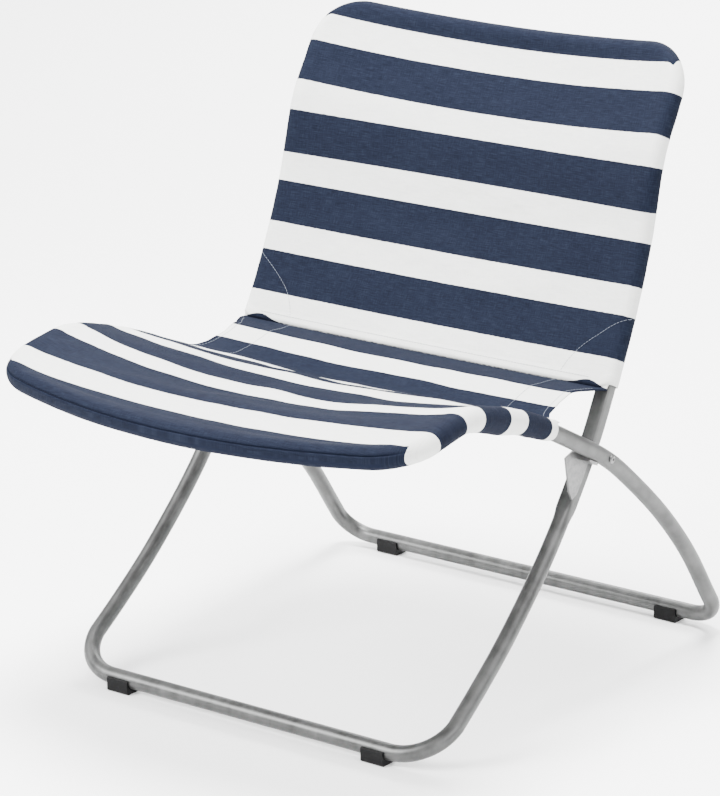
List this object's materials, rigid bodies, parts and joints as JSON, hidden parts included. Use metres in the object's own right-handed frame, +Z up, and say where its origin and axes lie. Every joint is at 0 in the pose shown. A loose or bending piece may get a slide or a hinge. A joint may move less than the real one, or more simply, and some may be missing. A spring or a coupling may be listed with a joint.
{
  "type": "folding beach chair",
  "caption": "Folding beach chair: crossing loops of round steel tube that pivot, with a blue and white striped canvas sling as seat and back.",
  "frame": {"origin": "on the floor under the middle of the chair's outline", "axes": "+Z up; the sitter faces -Y; +X is the sitter's left; the pivots lie along X"},
  "size_m": [0.6044, 0.7598, 0.753],
  "materials": {
    "galvanised_tube": "satin zinc",
    "zinc_fittings": "satin zinc",
    "black_plastic": "matte, lightly grained",
    "grey_nylon": "matte",
    "striped_canvas": "heathered plain weave, navy and off-white stripes"
  },
  "bodies": {
    "back_frame": {"back_cover": "striped_canvas", "back_hoop_tube": "galvanised_tube", "back_spigot_left": "zinc_fittings", "back_spigot_right": "zinc_fittings", "back_spigot_rivet_left": "zinc_fittings", "back_spigot_rivet_right": "zinc_fittings", "front_glide_left": "black_plastic", "front_glide_right": "black_plastic", "front_glide_screw_left": "zinc_fittings", "front_glide_screw_right": "zinc_fittings", "front_leg_tube": "galvanised_tube", "pivot_spacer_left": "grey_nylon", "pivot_spacer_right": "grey_nylon", "sling_bridge": "striped_canvas", "stop_bracket_left": "zinc_fittings", "stop_bracket_right": "zinc_fittings"},
    "seat_frame": {"pivot_cap_left": "zinc_fittings", "pivot_cap_right": "zinc_fittings", "pivot_rivet_left": "zinc_fittings", "pivot_rivet_right": "zinc_fittings", "rear_glide_left": "black_plastic", "rear_glide_right": "black_plastic", "rear_glide_screw_left": "zinc_fittings", "rear_glide_screw_right": "zinc_fittings", "rear_leg_tube": "galvanised_tube", "seat_cover": "striped_canvas", "seat_hoop_tube": "galvanised_tube", "seat_spigot_left": "zinc_fittings", "seat_spigot_right": "zinc_fittings", "seat_spigot_rivet_left": "zinc_fittings", "seat_spigot_rivet_right": "zinc_fittings"}
  },
  "joints": [
    {"name": "fold", "type": "hinge", "parent": "back_frame", "child": "seat_frame", "pos_m": [0, 0.08746, 0.3015], "axis": [-1, 0, 0], "range_deg": [0, 78], "deforming": ["sling_bridge"]}
  ]
}
